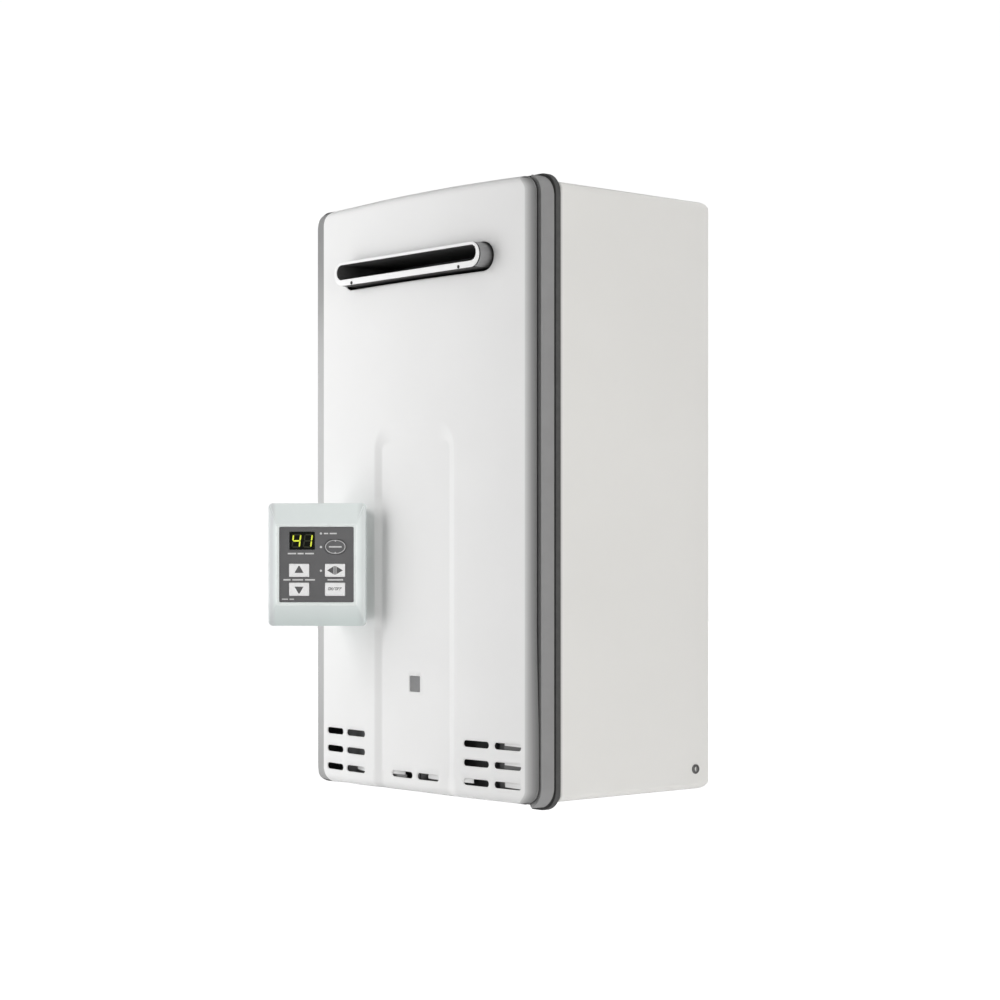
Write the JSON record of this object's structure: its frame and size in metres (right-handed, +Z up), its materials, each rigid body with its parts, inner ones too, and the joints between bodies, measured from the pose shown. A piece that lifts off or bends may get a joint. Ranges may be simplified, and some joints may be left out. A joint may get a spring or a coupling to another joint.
{
  "type": "gas water heater",
  "caption": "Wall-hung outdoor gas water heater: bowed white cover with vent slots and arched recess, flue outlet, grey side trims, angled push-button controller, burner and water train inside.",
  "frame": {"origin": "centre of the four wall-bolt holes, on the wall's surface", "axes": "+Z up, +Y into the wall, +X to the right as seen from the front"},
  "size_m": [0.356, 0.3432, 0.6135],
  "materials": {
    "white_paint": "satin baked enamel",
    "case_paint": "satin baked enamel",
    "black_paint": "matt heat-resistant black",
    "galvanised": "galvanised sheet",
    "stainless": "bright satin stainless steel",
    "screw_steel": "zinc plated",
    "copper": "drawn copper",
    "brass": "machined brass",
    "cast_alloy": "die cast",
    "grey_trim": "fine grain",
    "seal_rubber": "closed foam rubber",
    "black_plastic": "moulded",
    "pale_plastic": "fine grain",
    "panel_plastic": "printed membrane",
    "key_plastic": "smooth",
    "window_grey": "smoked",
    "display_black": "polished",
    "white_ceramic": "unglazed",
    "board_green": "lacquered board",
    "lead_red": "silicone sleeve",
    "lead_black": "wire sleeve"
  },
  "bodies": {
    "heater": {"case_shell": "case_paint", "connection_plate": "galvanised", "case_screws": "screw_steel", "upper_wall_bracket": "galvanised", "lower_wall_bracket": "galvanised", "bracket_screws": "screw_steel", "left_trim": "grey_trim", "right_trim": "grey_trim", "cover_seal": "seal_rubber", "flue_terminal": "stainless", "flue_guard": "black_paint", "flue_screws": "screw_steel", "exhaust_hood": "galvanised", "heat_exchanger_core": "copper", "heat_exchanger_housing": "copper", "return_bends": "copper", "combustion_chamber": "copper", "burner_box": "galvanised", "burner_bars": "stainless", "gas_manifold": "cast_alloy", "gas_nozzles": "brass", "fan_housing": "galvanised", "fan_motor": "black_plastic", "gas_valve_body": "cast_alloy", "solenoid_coils": "black_plastic", "gas_riser_pipe": "galvanised", "gas_inlet_fitting": "brass", "cold_inlet_fitting": "brass", "water_valve_body": "brass", "flow_servo_motor": "pale_plastic", "service_plugs": "black_plastic", "cold_pipe": "copper", "hot_pipe": "copper", "hot_outlet_fitting": "brass", "electrodes": "white_ceramic", "spark_unit": "black_plastic", "ignition_lead": "lead_red", "temperature_sensors": "brass", "frost_heaters": "white_ceramic", "control_box": "pale_plastic", "circuit_board": "board_green", "wiring_harness": "lead_black", "cable_gland": "black_plastic"},
    "cover": {"front_cover": "white_paint", "cover_screws": "screw_steel", "sight_window": "window_grey", "controller_wedge": "pale_plastic", "controller_back": "pale_plastic", "controller_bezel": "pale_plastic", "controller_panel": "panel_plastic", "display_window": "display_black"},
    "fan": {"fan_impeller": "galvanised"},
    "turbine": {"flow_turbine": "key_plastic"},
    "spindle": {"servo_spindle": "stainless"},
    "plunger": {"gas_valve_plunger": "stainless"},
    "up_key": {"up_button": "key_plastic"},
    "down_key": {"down_button": "key_plastic"},
    "transfer_key": {"transfer_button": "key_plastic"},
    "power_key": {"power_button": "key_plastic"},
    "priority_key": {"priority_button": "panel_plastic"}
  },
  "joints": [
    {"name": "cover_removal", "type": "slide", "parent": "heater", "child": "cover", "axis": [0, -1, 0], "range_m": [0, 0.35]},
    {"name": "fan_spin", "type": "hinge", "parent": "heater", "child": "fan", "pos_m": [0.049, -0.115, -0.14], "axis": [0, -1, 0], "continuous": true},
    {"name": "turbine_spin", "type": "hinge", "parent": "heater", "child": "turbine", "pos_m": [0.146, -0.1, -0.222], "axis": [0, 0, 1], "continuous": true},
    {"name": "spindle_turn", "type": "hinge", "parent": "heater", "child": "spindle", "pos_m": [0.146, -0.115, -0.19], "axis": [0, 1, 0], "range_deg": [0, 90]},
    {"name": "plunger_slide", "type": "slide", "parent": "heater", "child": "plunger", "axis": [-1, 0, 0], "range_m": [0, 0.003], "stiffness_N_per_m": 400},
    {"name": "up_press", "type": "slide", "parent": "cover", "child": "up_key", "axis": [-0.7071, 0.7071, 0], "range_m": [0, 0.001], "stiffness_N_per_m": 800},
    {"name": "down_press", "type": "slide", "parent": "cover", "child": "down_key", "axis": [-0.7071, 0.7071, 0], "range_m": [0, 0.001], "stiffness_N_per_m": 800},
    {"name": "transfer_press", "type": "slide", "parent": "cover", "child": "transfer_key", "axis": [-0.7071, 0.7071, 0], "range_m": [0, 0.001], "stiffness_N_per_m": 800},
    {"name": "power_press", "type": "slide", "parent": "cover", "child": "power_key", "axis": [-0.7071, 0.7071, 0], "range_m": [0, 0.001], "stiffness_N_per_m": 800},
    {"name": "priority_press", "type": "slide", "parent": "cover", "child": "priority_key", "axis": [-0.7071, 0.7071, 0], "range_m": [0, 0.001], "stiffness_N_per_m": 800}
  ]
}
